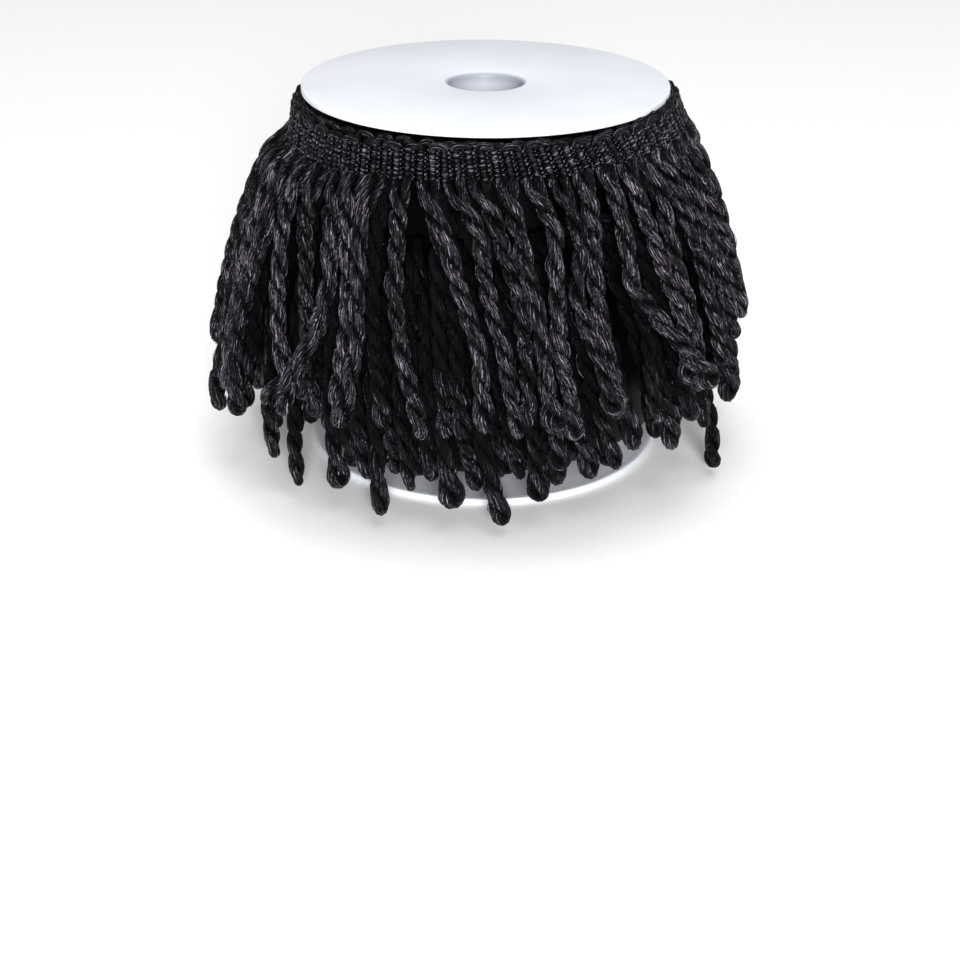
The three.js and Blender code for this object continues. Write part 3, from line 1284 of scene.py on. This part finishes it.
class FRINGE_OT_core(bpy.types.Operator):
    """Build the turns packed round the hub, hidden behind the cords, their yarn painted near
    black as shade
    """

    bl_idname = "fringe.core"
    bl_label = "Build Packed Turns"

    def execute(self, context):
        fringe = context.scene.fringe_cords
        # Painted shade: the packed turns take the yarn at 0.14 of its colour, as they lie deep in
        # shade behind the cords.
        material = yarn_material("packed_yarn_painted_shade", tuple(0.14 * c for c in fringe.colour), 1.6, 0.05)
        profile = [(row["radius"] * MM, row["height"] * MM) for row in PACKED_OUTLINE]
        piece = spun_piece("packed_turns", profile, 0.8 * MM, material)
        finish_piece(piece, "cord_yarn")
        return {"FINISHED"}


def area_light(name, place, target, size, power):
    """A square soft light that faces its target."""
    data = bpy.data.lights.new(name, "AREA")
    data.shape = "SQUARE"
    data.size = size
    data.energy = power
    light = new_object(name, data)
    light.location = place
    aim = Vector(target) - Vector(place)
    light.rotation_euler = aim.to_track_quat("-Z", "Y").to_euler()


class FRINGE_OT_studio(bpy.types.Operator):
    """Set up the floor, the lights and the camera"""

    bl_idname = "fringe.studio"
    bl_label = "Set Up Studio"

    def execute(self, context):
        settings = context.scene.fringe_studio
        shape = bmesh.new()
        bmesh.ops.create_grid(shape, x_segments=1, y_segments=1, size=6.0)
        mesh = bpy.data.meshes.new("floor")
        shape.to_mesh(mesh)
        shape.free()
        material, nodes, links, shader = new_material("paper_floor")
        place = nodes.new("ShaderNodeTexCoord").outputs["Object"]
        grain = add_noise(nodes, links, place, 900, 3)
        shade = add_range(nodes, links, grain, 0.3, 0.7, 0, 1)
        paper = add_mix(nodes, links, shade, (0.88, 0.88, 0.88, 1), (0.91, 0.91, 0.91, 1))
        links.new(paper, shader.inputs["Base Color"])
        shader.inputs["Roughness"].default_value = 0.9
        mesh.materials.append(material)
        floor = new_object("floor", mesh)
        world = bpy.data.worlds.new("studio")
        world.use_nodes = True
        background = world.node_tree.nodes["Background"]
        background.inputs["Color"].default_value = (1, 1, 1, 1)
        background.inputs["Strength"].default_value = 0.27
        context.scene.world = world
        middle = (0, 0, 0.04)
        area_light("key", (0.35, -1.05, 1.75), middle, 0.9, 9.0)
        area_light("fill", (-0.9, -1.0, 1.5), middle, 1.0, 2.5)
        area_light("front", (0.1, -1.40, 0.48), (0, 0, 0.02), 0.35, 28.0)
        area_light("top", (0.0, 0.4, 2.1), middle, 1.4, 22.0)
        self.place_camera(context, settings)
        context.scene.view_settings.view_transform = "Standard"
        context.scene.view_settings.look = "None"
        return {"FINISHED"}

    def place_camera(self, context, settings):
        """The camera at the photograph's angle, turned off the spool's middle as there."""
        tilt = settings.elevation
        back = Vector((0, -math.cos(tilt), math.sin(tilt)))
        right = Vector((1, 0, 0))
        forward = -back
        up = right.cross(forward)
        turn = Matrix((right, up, -forward))
        roll = Matrix.Rotation(VIEW_ROLL, 3, "Z")
        pan = Matrix.Rotation(VIEW_PAN, 3, "Y")
        drop = Matrix.Rotation(VIEW_DROP, 3, "X")
        view = drop @ pan @ roll @ turn
        data = bpy.data.cameras.new("camera")
        data.lens = settings.lens
        data.sensor_width = 36
        data.clip_start = 0.01
        data.clip_end = 50
        camera = new_object("camera", data)
        place = Vector((0, 0, VIEW_HEIGHT)) + back * settings.distance
        camera.matrix_world = Matrix.Translation(place) @ view.transposed().to_4x4()
        context.scene.camera = camera


class FRINGE_PT_panel(bpy.types.Panel):
    """Lists the pieces of the fringe and their settings"""

    bl_idname = "FRINGE_PT_panel"
    bl_label = "Bullion Fringe"
    bl_space_type = "VIEW_3D"
    bl_region_type = "UI"
    bl_category = "Fringe"

    def draw(self, context):
        scene = context.scene
        for settings, names, operator in (
            (scene.fringe_spool, ("radius", "thickness", "hole", "colour"), "fringe.spool"),
            (scene.fringe_heading, ("rows", "rib_width", "rib_depth"), "fringe.heading"),
            (
                scene.fringe_cords,
                ("cords", "length", "ply_radius", "lay", "colour"),
                "fringe.cords",
            ),
            (scene.fringe_studio, ("distance", "elevation", "lens"), "fringe.studio"),
        ):
            box = self.layout.box()
            for name in names:
                box.prop(settings, name)
            box.operator(operator)
        self.layout.operator("fringe.core")


CLASSES = (
    SpoolSettings,
    HeadingSettings,
    FringeSettings,
    StudioSettings,
    FRINGE_OT_spool,
    FRINGE_OT_heading,
    FRINGE_OT_cords,
    FRINGE_OT_core,
    FRINGE_OT_studio,
    FRINGE_PT_panel,
)


def register():
    """Registers the classes and the scene's settings."""
    for cls in CLASSES:
        bpy.utils.register_class(cls)
    scene = bpy.types.Scene
    scene.fringe_spool = bpy.props.PointerProperty(type=SpoolSettings)
    scene.fringe_heading = bpy.props.PointerProperty(type=HeadingSettings)
    scene.fringe_cords = bpy.props.PointerProperty(type=FringeSettings)
    scene.fringe_studio = bpy.props.PointerProperty(type=StudioSettings)


def unregister():
    """Removes the settings and the classes."""
    for name in ("fringe_spool", "fringe_heading", "fringe_cords", "fringe_studio"):
        delattr(bpy.types.Scene, name)
    for cls in reversed(CLASSES):
        bpy.utils.unregister_class(cls)


def main():
    """Builds every piece."""
    register()
    bpy.ops.fringe.studio()
    bpy.ops.fringe.spool()
    bpy.ops.fringe.core()
    bpy.ops.fringe.heading()
    bpy.ops.fringe.cords()


if __name__ == "__main__":
    main()
